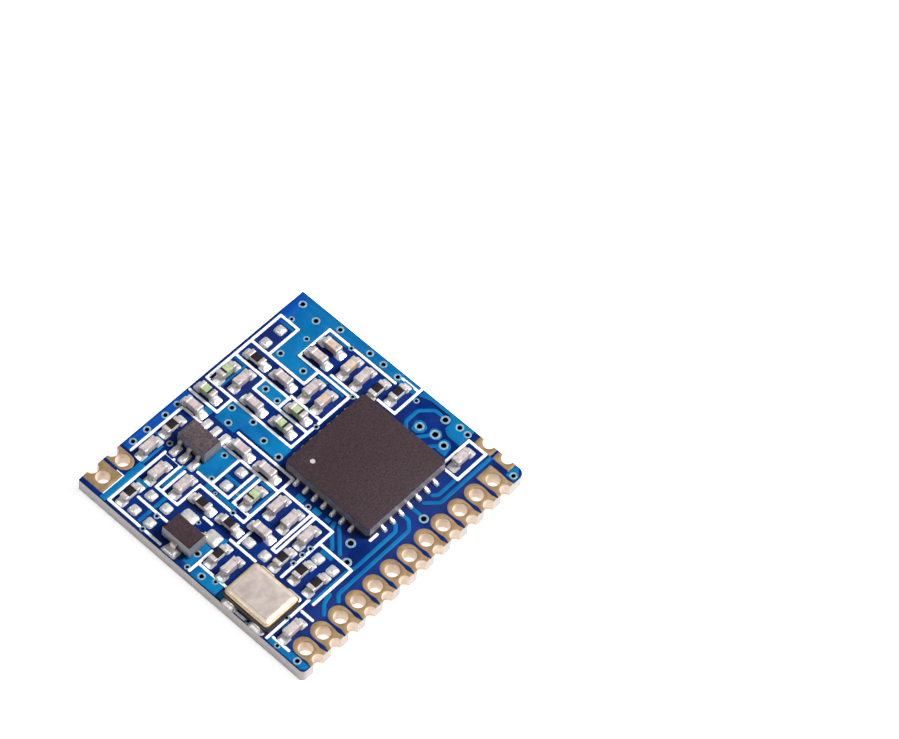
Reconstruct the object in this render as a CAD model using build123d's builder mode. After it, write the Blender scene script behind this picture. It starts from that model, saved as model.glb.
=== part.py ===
# A castellated sub-gigahertz radio module: a small two-sided circuit board that carries a 28-lead
# transceiver, a crystal, a radio-frequency switch, a three-lead regulator and its small chip parts.
# Millimetres. The origin is the centre of the underside, +Z is up, +X runs along the row of twelve pads.
# Places on the board are given from its corner beside the first pad of that row.
import os

from build123d import *

os.makedirs("parts", exist_ok=True)

# Board
board_width = 16.1
laminate_thickness = 0.86
mask_thickness = 0.03
corner_radius = 0.2

# Row of plated edge pads
pad_count = 12
pad_pitch = 1.27
first_pad_x = 1.13
last_pad_margin = 1.50
pad_width = 1.08
pad_depth = 1.62
pad_mouth_width = 1.18
pad_waist_width = 0.88
pad_waist_inset = 0.42
pad_shoulder_inset = 0.80
pad_rise = 0.015
hole_radius = 0.40
hole_inset = 0.91
notch_radius = 0.35
plating = 0.06
lining_sides = 8
round_sides = 12

# Two pads for the antenna wire on the opposite edge: distance from the corner, width, inner corners cut
antenna_pad_depth = 1.42
antenna_hole_inset = 0.78
antenna_pad_chamfer = 0.3
antenna_pads = [(1.00, 1.46, False), (2.42, 1.02, True)]

# Two half-round pads on the short side
side_pad_count = 2
side_pad_pitch = 1.31
first_side_pad_y = 1.26
side_pad_width = 1.15
side_pad_depth = 0.58

# Chip parts, size 0402, and their lands with solder
chip_length = 1.0
chip_width = 0.5
chip_end = 0.24
chip_end_lip = 0.02
capacitor_height = 0.5
resistor_height = 0.34
resistor_recess = 0.015
inductor_height = 0.5
inductor_mark = 0.12
land_thickness = 0.04
land_width = 0.6
land_under = 0.2
land_out = 0.34
solder_climb = 0.26
bare_land_dome = 0.14
bare_land_taper = 30

# Transceiver package
transceiver_place = (10.87, 6.03)
transceiver_size = 6.0
transceiver_height = 0.82
transceiver_foot = 0.2
transceiver_corner = 0.16
transceiver_draft = 4
transceiver_dot_radius = 0.16
transceiver_dot_inset = 1.05
transceiver_dot_depth = 0.03
transceiver_pad_size = 4.1
lead_count = 7
lead_pitch = 0.65
lead_width = 0.3
lead_under = 0.35
lead_out = 0.34
lead_climb = 0.2
column_gap = 0.07

# Crystal can
crystal_place = (1.52, 4.43)
crystal_width = 2.5
crystal_length = 3.2
crystal_base_height = 0.45
crystal_rim_height = 0.12
crystal_lid_height = 0.13
crystal_rim_inset = 0.06
crystal_lid_inset = 0.2
crystal_corner = 0.25
crystal_base_corner = 0.15
crystal_lid_corner = 0.12
crystal_lid_bevel = 0.06
crystal_land_width = 1.0
crystal_land_spread = 1.9
crystal_land_under = 0.75
crystal_land_out = 0.27
crystal_solder_climb = 0.16

# Moulded packages with bent leads
package_width = 1.25
package_length = 2.0
package_height = 0.85
package_lift = 0.08
package_draft = 6
switch_place = (5.82, 13.15)
regulator_place = (1.27, 9.7)
bent_thickness = 0.12
bent_exit = 0.45
bent_shoulder = 0.12
bent_land_margin = 0.1
bent_land_width = 0.44
bent_reach = 0.46
bent_foot = 0.3
switch_lead_width = 0.24
regulator_lead_width = 0.36

# White print
print_width = 0.16
print_thickness = 0.02

# Copper under the mask, which stands up as a lighter field
copper_rise = 0.02
track_width = 0.24

# The layout: the places below are given on a board of this length and width, and spread with the board
layout_size = (16.6, 16.1)

# Worked out from the above
board_length = first_pad_x + (pad_count - 1) * pad_pitch + last_pad_margin
laminate_top = mask_thickness + laminate_thickness
board_top = laminate_top + mask_thickness
pad_top = board_top + pad_rise
land_top = board_top + land_thickness
block_length = chip_length - 2 * chip_end
block_width = chip_width - 2 * chip_end_lip
joint_reach = chip_length / 2 + chip_end_lip
spread_x = board_length / layout_size[0]
spread_y = board_width / layout_size[1]

# Parts that keep clear of the transceiver: in a column to its right, between its leads and the board's
# edge, and between it and the first inductor
inductor_1_x = 5.50
clear_reach = joint_reach + land_out
right_column_x = transceiver_place[0] + (transceiver_size / 2 + column_gap + clear_reach) / spread_x
right_lead_x = transceiver_place[0] + (transceiver_size / 2 + lead_out) / spread_x
edge_column_x = (right_lead_x + layout_size[0]) / 2
left_wall_x = transceiver_place[0] - transceiver_size / 2 / spread_x
left_column_x = (inductor_1_x + clear_reach / spread_x + left_wall_x) / 2

# Chip parts: name, x, y and the turn of the long side from X in degrees
capacitors = [
    ("capacitor_1", 3.10, 13.45, 0),
    ("capacitor_2", 3.45, 11.95, 0),
    ("capacitor_3", 3.86, 14.85, 0),
    ("capacitor_4", left_column_x, 11.38, 90),
    ("capacitor_5", left_column_x, 9.50, 90),
    ("capacitor_6", 7.25, 15.00, 90),
    ("capacitor_7", 10.20, 14.35, 0),
    ("capacitor_8", 9.55, 12.85, 90),
    ("capacitor_9", 11.75, 12.85, 90),
    ("capacitor_10", 14.05, 12.50, 90),
    ("capacitor_11", 15.05, 12.45, 90),
    ("capacitor_12", 12.35, 11.35, 0),
    ("capacitor_13", 12.30, 10.40, 0),
    ("capacitor_14", right_column_x, 10.90, 0),
    ("capacitor_15", right_column_x, 9.95, 0),
    ("capacitor_16", 1.70, 6.80, 0),
    ("capacitor_17", 4.35, 7.18, 90),
    ("capacitor_18", 5.95, 7.65, 0),
    ("capacitor_19", 5.85, 6.58, 0),
    ("capacitor_20", 5.75, 5.30, 0),
    ("capacitor_21", 1.35, 2.06, 0),
    ("capacitor_22", right_column_x, 2.90, 0),
]
resistors = [
    ("resistor_1", 1.24, 13.57, 0),
    ("resistor_2", 5.62, 14.93, 0),
    ("resistor_3", 3.40, 10.50, 90),
    ("resistor_4", 3.50, 8.65, 90),
    ("resistor_5", 11.70, 14.75, 90),
    ("resistor_6", right_column_x, 8.92, 0),
    ("resistor_7", edge_column_x, 8.00, 0),
    ("resistor_8", 1.82, 7.78, 0),
    ("resistor_9", 3.95, 5.30, 0),
    ("resistor_10", 4.10, 4.08, 0),
    ("resistor_11", 4.10, 3.05, 0),
]
inductors = [
    ("inductor_1", inductor_1_x, 8.90, 0),
    ("inductor_2", 8.40, 15.10, 90),
    ("inductor_3", 10.00, 15.30, 0),
    ("inductor_4", 9.65, 10.85, 90),
    ("inductor_5", 10.80, 10.85, 90),
]
# Lands with solder and no part on them
bare_lands = [
    (0.75, 12.75),
    (0.75, 11.65),
    (1.95, 12.75),
    (1.95, 11.65),
    (5.10, 10.45),
    (6.20, 10.45),
    (12.85, 15.20),
    (13.95, 15.20),
    (3.50, 7.22),
    (3.50, 6.12),
    (5.30, 4.06),
    (5.30, 3.05),
]
# White print strokes: the two ends of each
print_strokes = [
    (0.25, 14.12, 4.30, 14.12),
    (0.25, 10.40, 0.25, 14.12),
    (4.30, 12.95, 4.30, 14.12),
    (2.50, 12.95, 4.30, 12.95),
    (2.50, 11.42, 2.50, 12.95),
    (2.60, 12.55, 4.45, 12.55),
    (2.50, 11.42, 4.15, 11.42),
    (1.42, 11.10, 1.42, 13.15),
    (3.15, 15.45, 6.87, 15.45),
    (6.72, 12.15, 6.72, 14.60),
    (7.93, 13.95, 7.93, 15.95),
    (7.93, 13.95, 9.10, 13.95),
    (4.62, 9.85, 4.62, 12.05),
    (4.62, 9.85, 6.70, 9.85),
    (4.62, 11.05, 6.70, 11.05),
    (6.70, 8.27, 6.70, 12.15),
    (4.62, 8.27, 4.62, 9.47),
    (4.62, 9.47, 6.70, 9.47),
    (4.15, 8.27, 4.15, 11.42),
    (4.15, 8.27, 7.80, 8.27),
    (7.80, 8.27, 7.80, 12.25),
    (0.20, 8.22, 1.80, 8.22),
    (2.92, 9.35, 2.92, 9.90),
    (9.10, 9.70, 9.10, 15.85),
    (9.10, 15.85, 14.65, 15.85),
    (11.20, 11.85, 11.20, 15.85),
    (12.40, 11.95, 12.40, 15.85),
    (12.40, 14.56, 14.65, 14.56),
    (14.65, 14.56, 14.65, 15.85),
    (10.38, 13.62, 11.20, 13.62),
    (10.33, 9.70, 10.33, 13.62),
    (10.33, 11.88, 11.20, 11.88),
    (11.38, 9.70, 11.38, 11.88),
    (9.10, 9.70, 13.47, 9.70),
    (13.47, 9.70, 13.47, 13.52),
    (12.40, 11.95, 13.47, 11.95),
    (13.47, 13.52, 15.95, 13.52),
    (15.95, 8.60, 15.95, 13.52),
    (13.80, 9.40, 13.80, 11.30),
    (14.42, 7.32, 14.42, 8.50),
    (14.42, 7.32, 16.50, 7.32),
    (0.82, 6.25, 0.82, 8.22),
    (2.93, 6.25, 2.93, 8.00),
    (3.10, 7.60, 4.00, 7.60),
    (4.05, 6.12, 6.95, 6.12),
    (4.05, 5.85, 6.95, 5.85),
    (4.05, 5.85, 4.05, 6.12),
    (6.95, 4.65, 6.95, 8.27),
    (3.22, 4.65, 6.95, 4.65),
    (5.98, 2.38, 5.98, 4.65),
    (3.20, 2.38, 5.98, 2.38),
    (0.18, 2.72, 1.60, 2.72),
    (1.90, 2.72, 3.20, 2.72),
    (2.50, 1.78, 2.50, 2.50),
    (0.42, 1.42, 0.42, 2.50),
    (13.78, 2.22, 13.78, 3.42),
    (13.78, 2.22, 15.95, 2.22),
    (15.95, 2.22, 15.95, 3.42),
    (13.95, 3.42, 15.95, 3.42),
    (7.75, 2.97, 7.75, 3.20),
]
# Copper fields under the top mask: the outline of each, from its first corner round
copper_fields = [
    [(0.06, 14.22), (3.00, 14.22), (3.00, 14.62), (0.06, 14.62)],
    [(3.06, 15.56), (7.80, 15.56), (7.80, 16.04), (3.06, 16.04)],
    [(0.06, 6.30), (0.72, 6.30), (0.72, 8.10), (0.06, 8.10)],
    [(0.06, 0.06), (0.50, 0.06), (0.50, 1.30), (0.32, 1.30), (0.32, 2.60), (0.06, 2.60)],
    [(4.72, 11.15), (6.60, 11.15), (6.60, 12.30), (4.72, 12.30)],
    [(8.02, 9.55), (9.00, 9.55), (9.00, 13.85), (7.62, 13.85), (7.62, 12.45), (8.02, 12.45)],
    [(10.44, 11.98), (11.10, 11.98), (11.10, 13.52), (10.44, 13.52)],
    [(12.50, 12.05), (13.37, 12.05), (13.37, 13.64), (16.04, 13.64), (16.04, 7.42),
     (16.54, 7.42), (16.54, 16.04), (14.75, 16.04), (14.75, 14.46), (12.50, 14.46)],
    [(14.30, 3.52), (16.54, 3.52), (16.54, 7.22), (16.10, 7.22), (15.40, 6.30), (14.30, 6.30)],
]
# Tracks under the top mask: the corners of each run
tracks = [
    [(6.10, 2.36), (9.25, 2.36), (9.50, 2.58)],
    [(4.75, 1.92), (9.78, 1.92), (10.22, 2.36), (10.22, 2.60)],
    [(10.87, 1.82), (10.87, 2.60)],
    [(11.52, 2.55), (12.14, 1.90), (15.90, 1.90)],
    [(12.17, 2.55), (12.40, 2.30), (13.60, 2.30)],
    [(6.25, 3.45), (7.45, 4.65)],
]


def at(x, y):
    """A place of the layout as X and Y of the part."""
    return (x * spread_x - board_length / 2, y * spread_y - board_width / 2)


def on_board(x, y, turn=0, z=0.0):
    """A place of the layout at a height, turned about the vertical."""
    return Location((*at(x, y), z), (0, 0, turn))


def from_corner(x, y, turn=0):
    """A place at a fixed distance from the corner beside the first pad of the row."""
    return Location((x - board_length / 2, y - board_width / 2, 0), (0, 0, turn))


edge_spots = [from_corner(first_pad_x + i * pad_pitch, 0) for i in range(pad_count)]
antenna_spots = [from_corner(x, board_width, 180) for x, _, _ in antenna_pads]
side_spots = [
    from_corner(board_length, first_side_pad_y + i * side_pad_pitch, 90) for i in range(side_pad_count)
]


# Plans of the plated pads. The board's edge lies along y = 0 and the pad runs in towards +y.
with BuildSketch() as round_pad:
    with BuildLine():
        Polyline(
            (-pad_width / 2, pad_depth - pad_width / 2),
            (-pad_width / 2, pad_shoulder_inset),
            (-pad_waist_width / 2, pad_waist_inset),
            (-pad_mouth_width / 2, 0),
            (pad_mouth_width / 2, 0),
            (pad_waist_width / 2, pad_waist_inset),
            (pad_width / 2, pad_shoulder_inset),
            (pad_width / 2, pad_depth - pad_width / 2),
            close=True,
        )
    make_face()
    with Locations((0, pad_depth - pad_width / 2)):
        RegularPolygon(pad_width / 2, round_sides, major_radius=False, rotation=180 / round_sides)

with BuildSketch() as square_pad:
    with BuildLine():
        Polyline(
            (-pad_mouth_width / 2, 0),
            (pad_mouth_width / 2, 0),
            (pad_waist_width / 2, pad_waist_inset),
            (pad_mouth_width / 2, pad_shoulder_inset),
            (pad_mouth_width / 2, pad_depth),
            (-pad_width / 2, pad_depth),
            (-pad_width / 2, pad_shoulder_inset),
            (-pad_waist_width / 2, pad_waist_inset),
            close=True,
        )
    make_face()

with BuildSketch() as under_pad:
    with Locations((0, pad_depth / 2)):
        Rectangle(pad_width, pad_depth)

with BuildSketch() as side_pad:
    with Locations((0, side_pad_depth / 2)):
        Rectangle(side_pad_width, side_pad_depth)


def antenna_pad(width, cut):
    """Plan of one antenna pad, with or without its inner corners cut."""
    with BuildSketch() as plan:
        with Locations((0, antenna_pad_depth / 2)):
            Rectangle(width, antenna_pad_depth)
        if cut:
            chamfer(plan.vertices().group_by(Axis.Y)[-1], antenna_pad_chamfer)
    return plan.sketch


def hole_lining(inset):
    """Plan of the plating round one hole, eight-sided where the round hole of the laminate hides it."""
    with BuildSketch() as plan:
        with Locations((0, inset)):
            RegularPolygon(hole_radius + plating, lining_sides)
    return plan.sketch


# Plan of the plating that lines a notch, as it meets the laminate
with BuildSketch() as notch_lining:
    with Locations((0, (notch_radius + plating) / 2)):
        Rectangle(2 * (notch_radius + plating), notch_radius + plating)


def laminate_outline():
    """The board's outline, with one corner rounded."""
    with BuildSketch() as outline:
        Rectangle(board_length, board_width)
        fillet(outline.vertices().group_by(Axis.X)[-1].sort_by(Axis.Y)[0], corner_radius)
    return outline.sketch


# Laminate, cut for the lining of every hole and notch
with BuildPart() as laminate:
    with BuildSketch(Plane.XY.offset(mask_thickness)):
        add(laminate_outline())
        with Locations(*[spot * Pos(0, hole_inset) for spot in edge_spots]):
            Circle(hole_radius + plating, mode=Mode.SUBTRACT)
        with Locations(*[spot * Pos(0, antenna_hole_inset) for spot in antenna_spots]):
            Circle(hole_radius + plating, mode=Mode.SUBTRACT)
        with Locations(*edge_spots, *antenna_spots, *side_spots):
            add(notch_lining.sketch, mode=Mode.SUBTRACT)
    extrude(amount=laminate_thickness)
laminate.part.label = "laminate"
export_step(laminate.part, "parts/laminate.step")

# Masks, open at the bare pads
with BuildPart() as top_mask:
    with BuildSketch(Plane.XY.offset(laminate_top)):
        add(laminate_outline())
        with Locations(*edge_spots[:-1]):
            add(round_pad.sketch, mode=Mode.SUBTRACT)
        with Locations(edge_spots[-1]):
            add(square_pad.sketch, mode=Mode.SUBTRACT)
        for spot, (_, width, cut) in zip(antenna_spots, antenna_pads):
            with Locations(spot):
                add(antenna_pad(width, cut), mode=Mode.SUBTRACT)
        with Locations(*side_spots):
            add(side_pad.sketch, mode=Mode.SUBTRACT)
    extrude(amount=mask_thickness)
top_mask.part.label = "top_mask"
export_step(top_mask.part, "parts/top_mask.step")

with BuildPart() as bottom_mask:
    with BuildSketch():
        add(laminate_outline())
        with Locations(*edge_spots):
            add(under_pad.sketch, mode=Mode.SUBTRACT)
        for spot, (_, width, _) in zip(antenna_spots, antenna_pads):
            with Locations(spot):
                add(antenna_pad(width, False), mode=Mode.SUBTRACT)
        with Locations(*side_spots):
            add(side_pad.sketch, mode=Mode.SUBTRACT)
    extrude(amount=mask_thickness)
bottom_mask.part.label = "bottom_mask"
export_step(bottom_mask.part, "parts/bottom_mask.step")

# Edge pads: each is one plated piece, with an upper and a lower plate joined through hole and notch
with BuildPart() as edge_pads:
    with BuildSketch():
        with Locations(*edge_spots):
            add(under_pad.sketch)
    extrude(amount=mask_thickness)
    with BuildSketch(Plane.XY.offset(mask_thickness)):
        with Locations(*edge_spots):
            add(hole_lining(hole_inset))
            add(notch_lining.sketch)
    extrude(amount=laminate_thickness)
    with BuildSketch(Plane.XY.offset(laminate_top)):
        with Locations(*edge_spots[:-1]):
            add(round_pad.sketch)
        with Locations(edge_spots[-1]):
            add(square_pad.sketch)
    extrude(amount=pad_top - laminate_top)
    with BuildSketch():
        with Locations(*edge_spots):
            Circle(notch_radius)
            with Locations((0, hole_inset)):
                Circle(hole_radius)
    extrude(amount=pad_top, mode=Mode.SUBTRACT)
edge_pads.part.label = "edge_pads"
export_step(edge_pads.part, "parts/edge_pads.step")

with BuildPart() as antenna_pad_pair:
    with BuildSketch():
        for spot, (_, width, _) in zip(antenna_spots, antenna_pads):
            with Locations(spot):
                add(antenna_pad(width, False))
    extrude(amount=mask_thickness)
    with BuildSketch(Plane.XY.offset(mask_thickness)):
        with Locations(*antenna_spots):
            add(hole_lining(antenna_hole_inset))
            add(notch_lining.sketch)
    extrude(amount=laminate_thickness)
    with BuildSketch(Plane.XY.offset(laminate_top)):
        for spot, (_, width, cut) in zip(antenna_spots, antenna_pads):
            with Locations(spot):
                add(antenna_pad(width, cut))
    extrude(amount=pad_top - laminate_top)
    with BuildSketch():
        with Locations(*antenna_spots):
            Circle(notch_radius)
            with Locations((0, antenna_hole_inset)):
                Circle(hole_radius)
    extrude(amount=pad_top, mode=Mode.SUBTRACT)
antenna_pad_pair.part.label = "antenna_pads"
export_step(antenna_pad_pair.part, "parts/antenna_pads.step")

with BuildPart() as side_pads:
    with BuildSketch():
        with Locations(*side_spots):
            add(side_pad.sketch)
    extrude(amount=mask_thickness)
    with BuildSketch(Plane.XY.offset(mask_thickness)):
        with Locations(*side_spots):
            add(notch_lining.sketch)
    extrude(amount=laminate_thickness)
    with BuildSketch(Plane.XY.offset(laminate_top)):
        with Locations(*side_spots):
            add(side_pad.sketch)
    extrude(amount=pad_top - laminate_top)
    with BuildSketch():
        with Locations(*side_spots):
            Circle(notch_radius)
    extrude(amount=pad_top, mode=Mode.SUBTRACT)
side_pads.part.label = "side_pads"
export_step(side_pads.part, "parts/side_pads.step")

# One solder joint of a chip part: its land under the end of the part and the fillet outside it.
# The end face of the part stands at x = 0.
with BuildPart() as chip_joint:
    with BuildSketch(Plane.XZ):
        with BuildLine():
            Polyline(
                (-land_under, 0),
                (land_out, 0),
                (0, solder_climb),
                (0, land_thickness),
                (-land_under, land_thickness),
                close=True,
            )
        make_face()
    extrude(amount=land_width / 2, both=True)

# One land with a dome of solder and no part on it
with BuildPart() as bare_joint:
    with BuildSketch():
        Rectangle(land_width, land_width)
    extrude(amount=bare_land_dome, taper=bare_land_taper)

# One land of the crystal, whose wall stands at x = 0
with BuildPart() as crystal_joint:
    with BuildSketch(Plane.XZ):
        with BuildLine():
            Polyline(
                (-crystal_land_under, 0),
                (crystal_land_out, 0),
                (0, crystal_solder_climb),
                (0, land_thickness),
                (-crystal_land_under, land_thickness),
                close=True,
            )
        make_face()
    extrude(amount=crystal_land_width / 2, both=True)


chip_spots = [
    on_board(x, y, turn + side, board_top) * Pos(joint_reach, 0)
    for _, x, y, turn in capacitors + resistors + inductors
    for side in (0, 180)
]
crystal_spots = [
    on_board(*crystal_place, side, board_top) * Pos(crystal_width / 2, along)
    for side in (0, 180)
    for along in (-crystal_land_spread / 2, crystal_land_spread / 2)
]

with BuildPart() as solder_joints:
    with Locations(*chip_spots):
        add(chip_joint.part)
    with Locations(*[on_board(x, y, 0, board_top) for x, y in bare_lands]):
        add(bare_joint.part)
    with Locations(*crystal_spots):
        add(crystal_joint.part)
solder_joints.part.label = "solder_joints"
export_step(solder_joints.part, "parts/solder_joints.step")


def chip_plane(x, y, turn):
    """The plane that a chip part stands on, with its long side along the plane's own X."""
    return Plane(on_board(x, y, turn, land_top))


def chip_ends(height):
    """The two plated ends of a chip part, drawn into the open part at their places."""
    for side in (-1, 1):
        with Locations((side * (chip_length - chip_end + chip_end_lip) / 2, 0, height / 2)):
            Box(chip_end + chip_end_lip, chip_width, height)


# Capacitors: a ceramic block a little slimmer than its plated ends
for name, x, y, turn in capacitors:
    with BuildPart(chip_plane(x, y, turn)) as capacitor:
        with Locations((0, 0, capacitor_height / 2)):
            Box(block_length, block_width, capacitor_height - 2 * chip_end_lip)
        chip_ends(capacitor_height)
    capacitor.part.label = name
    export_step(capacitor.part, f"parts/{name}.step")

# Resistors: a flat ceramic block with its film recessed a little below the plated ends
for name, x, y, turn in resistors:
    with BuildPart(chip_plane(x, y, turn)) as resistor:
        block_height = resistor_height - resistor_recess
        with Locations((0, 0, block_height / 2)):
            Box(block_length, block_width, block_height)
        chip_ends(resistor_height)
    resistor.part.label = name
    export_step(resistor.part, f"parts/{name}.step")

# Inductors: a ceramic block between plated ends, with a raised mark across one side of it
for name, x, y, turn in inductors:
    with BuildPart(chip_plane(x, y, turn)) as inductor:
        block_height = inductor_height - chip_end_lip
        with Locations((0, 0, block_height / 2)):
            Box(block_length, block_width, block_height)
        with Locations(((inductor_mark - block_length) / 2, 0, block_height + chip_end_lip / 2)):
            Box(inductor_mark, block_width, chip_end_lip)
        chip_ends(inductor_height)
    inductor.part.label = name
    export_step(inductor.part, f"parts/{name}.step")

# Transceiver: a flat moulded body whose upper part is drafted, with a dimple at its first lead
transceiver_plane = Plane(on_board(*transceiver_place, 0, land_top))
with BuildSketch() as transceiver_plan:
    Rectangle(transceiver_size, transceiver_size)
    chamfer(transceiver_plan.vertices(), transceiver_corner)

with BuildPart() as transceiver_body:
    with BuildSketch(transceiver_plane):
        add(transceiver_plan.sketch)
    extrude(amount=transceiver_foot)
    with BuildSketch(transceiver_plane.offset(transceiver_foot)):
        add(transceiver_plan.sketch)
    extrude(amount=transceiver_height - transceiver_foot, taper=transceiver_draft)
    with BuildSketch(transceiver_plane.offset(transceiver_height)):
        dot_reach = transceiver_size / 2 - transceiver_dot_inset
        with Locations((-dot_reach, dot_reach)):
            RegularPolygon(transceiver_dot_radius, round_sides)
    extrude(amount=-transceiver_dot_depth, mode=Mode.SUBTRACT)
transceiver_body.part.label = "transceiver_body"
export_step(transceiver_body.part, "parts/transceiver_body.step")

with BuildPart() as lead_joint:
    with BuildSketch(Plane.XZ):
        with BuildLine():
            Polyline(
                (-lead_under, 0),
                (lead_out, 0),
                (0, lead_climb),
                (0, land_thickness),
                (-lead_under, land_thickness),
                close=True,
            )
        make_face()
    extrude(amount=lead_width / 2, both=True)

lead_spots = [
    on_board(*transceiver_place, turn, board_top)
    * Pos(transceiver_size / 2, (i - (lead_count - 1) / 2) * lead_pitch)
    for turn in (0, 90, 180, 270)
    for i in range(lead_count)
]

with BuildPart() as transceiver_leads:
    with Locations(*lead_spots):
        add(lead_joint.part)
transceiver_leads.part.label = "transceiver_leads"
export_step(transceiver_leads.part, "parts/transceiver_leads.step")

with BuildPart(Plane(on_board(*transceiver_place, 0, board_top))) as transceiver_pad:
    with Locations((0, 0, land_thickness / 2)):
        Box(transceiver_pad_size, transceiver_pad_size, land_thickness)
transceiver_pad.part.label = "transceiver_pad"
export_step(transceiver_pad.part, "parts/transceiver_pad.step")

# Crystal: a dark ceramic base, the seal ring round its edge and the lid welded on that ring
crystal_plane = Plane(on_board(*crystal_place, 0, land_top))
with BuildPart() as crystal_base:
    with BuildSketch(crystal_plane) as base_plan:
        Rectangle(crystal_width, crystal_length)
        chamfer(base_plan.vertices(), crystal_base_corner)
    extrude(amount=crystal_base_height)
crystal_base.part.label = "crystal_base"
export_step(crystal_base.part, "parts/crystal_base.step")

with BuildPart() as crystal_rim:
    with BuildSketch(crystal_plane.offset(crystal_base_height)):
        RectangleRounded(
            crystal_width - 2 * crystal_rim_inset,
            crystal_length - 2 * crystal_rim_inset,
            crystal_corner,
        )
    extrude(amount=crystal_rim_height)
crystal_rim.part.label = "crystal_rim"
export_step(crystal_rim.part, "parts/crystal_rim.step")

with BuildPart() as crystal_lid:
    with BuildSketch(crystal_plane.offset(crystal_base_height + crystal_rim_height)) as lid_plan:
        Rectangle(
            crystal_width - 2 * crystal_lid_inset,
            crystal_length - 2 * crystal_lid_inset,
        )
        chamfer(lid_plan.vertices(), crystal_lid_corner)
    extrude(amount=crystal_lid_height)
    chamfer(crystal_lid.faces().sort_by(Axis.Z)[-1].edges(), crystal_lid_bevel)
crystal_lid.part.label = "crystal_lid"
export_step(crystal_lid.part, "parts/crystal_lid.step")


def moulded_body(place):
    """A small moulded package, straight up to its leads and drafted above them."""
    plane = Plane(on_board(*place, 0, board_top + package_lift))
    straight = bent_exit + bent_thickness / 2 - package_lift
    with BuildPart() as body:
        with BuildSketch(plane):
            Rectangle(package_width, package_length)
        extrude(amount=straight)
        with BuildSketch(plane.offset(straight)):
            Rectangle(package_width, package_length)
        extrude(amount=package_height - straight, taper=package_draft)
    return body.part


def bent_lead(width):
    """One lead of a moulded package, bent down to its land, with the package's wall at x = 0."""
    foot = land_thickness + bent_thickness / 2
    with BuildPart() as lead:
        with BuildSketch(Plane.XZ):
            with BuildLine() as path:
                Polyline(
                    (0, bent_exit),
                    (bent_shoulder, bent_exit),
                    (bent_reach - bent_foot, foot),
                    (bent_reach, foot),
                )
            trace(path.line, bent_thickness)
        extrude(amount=width / 2, both=True)
    return lead.part


def lead_places(place, left, right):
    """Where the leads leave a moulded package: the offsets along its left and its right wall."""
    reach = package_width / 2
    return [on_board(*place, 180, board_top) * Pos(reach, -along) for along in left] + [
        on_board(*place, 0, board_top) * Pos(reach, along) for along in right
    ]


# Radio-frequency switch: three leads a side
switch_body = moulded_body(switch_place)
switch_body.label = "switch_body"
export_step(switch_body, "parts/switch_body.step")

switch_rows = (-lead_pitch, 0, lead_pitch)
switch_lead_spots = lead_places(switch_place, switch_rows, switch_rows)
with BuildPart() as switch_leads:
    with Locations(*switch_lead_spots):
        add(bent_lead(switch_lead_width))
switch_leads.part.label = "switch_leads"
export_step(switch_leads.part, "parts/switch_leads.step")

# Regulator: one lead on the left and two on the right
regulator_body = moulded_body(regulator_place)
regulator_body.label = "regulator_body"
export_step(regulator_body, "parts/regulator_body.step")

regulator_lead_spots = lead_places(regulator_place, (0,), (-lead_pitch, lead_pitch))
with BuildPart() as regulator_leads:
    with Locations(*regulator_lead_spots):
        add(bent_lead(regulator_lead_width))
regulator_leads.part.label = "regulator_leads"
export_step(regulator_leads.part, "parts/regulator_leads.step")

# Solder lands under the bent leads, each with a fillet at the toe
with BuildPart() as bent_joint:
    with BuildSketch(Plane.XZ):
        with BuildLine():
            Polyline(
                (bent_reach - bent_foot - bent_land_margin, 0),
                (bent_reach + bent_land_margin, 0),
                (bent_reach, bent_thickness),
                (bent_reach, land_thickness),
                (bent_reach - bent_foot - bent_land_margin, land_thickness),
                close=True,
            )
        make_face()
    extrude(amount=bent_land_width / 2, both=True)

with BuildPart() as package_lands:
    with Locations(*switch_lead_spots, *regulator_lead_spots):
        add(bent_joint.part)
package_lands.part.label = "package_lands"
export_step(package_lands.part, "parts/package_lands.step")

# Copper fields and tracks raised under the mask. They and the print stop where bare metal begins.
bare_metal = [edge_pads, antenna_pad_pair, side_pads, solder_joints, transceiver_leads, package_lands]

with BuildPart() as top_copper:
    with BuildSketch(Plane.XY.offset(board_top)):
        for corners in copper_fields:
            with BuildLine():
                Polyline(*[at(x, y) for x, y in corners], close=True)
            make_face()
        for run in tracks:
            with BuildLine() as path:
                Polyline(*[at(x, y) for x, y in run])
            trace(path.line, track_width)
    extrude(amount=copper_rise)
    for piece in bare_metal:
        add(piece.part, mode=Mode.SUBTRACT)
top_copper.part.label = "top_copper"
export_step(top_copper.part, "parts/top_copper.step")

# White print
with BuildPart() as white_print:
    with BuildSketch(Plane.XY.offset(board_top)):
        for x1, y1, x2, y2 in print_strokes:
            with Locations(at((x1 + x2) / 2, (y1 + y2) / 2)):
                Rectangle(
                    abs(x2 - x1) * spread_x + print_width,
                    abs(y2 - y1) * spread_y + print_width,
                )
    extrude(amount=copper_rise + print_thickness)
    for piece in [top_copper, *bare_metal]:
        add(piece.part, mode=Mode.SUBTRACT)
white_print.part.label = "white_print"
export_step(white_print.part, "parts/white_print.step")
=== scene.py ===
import math

import bpy
import numpy as np
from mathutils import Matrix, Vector, geometry


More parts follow.
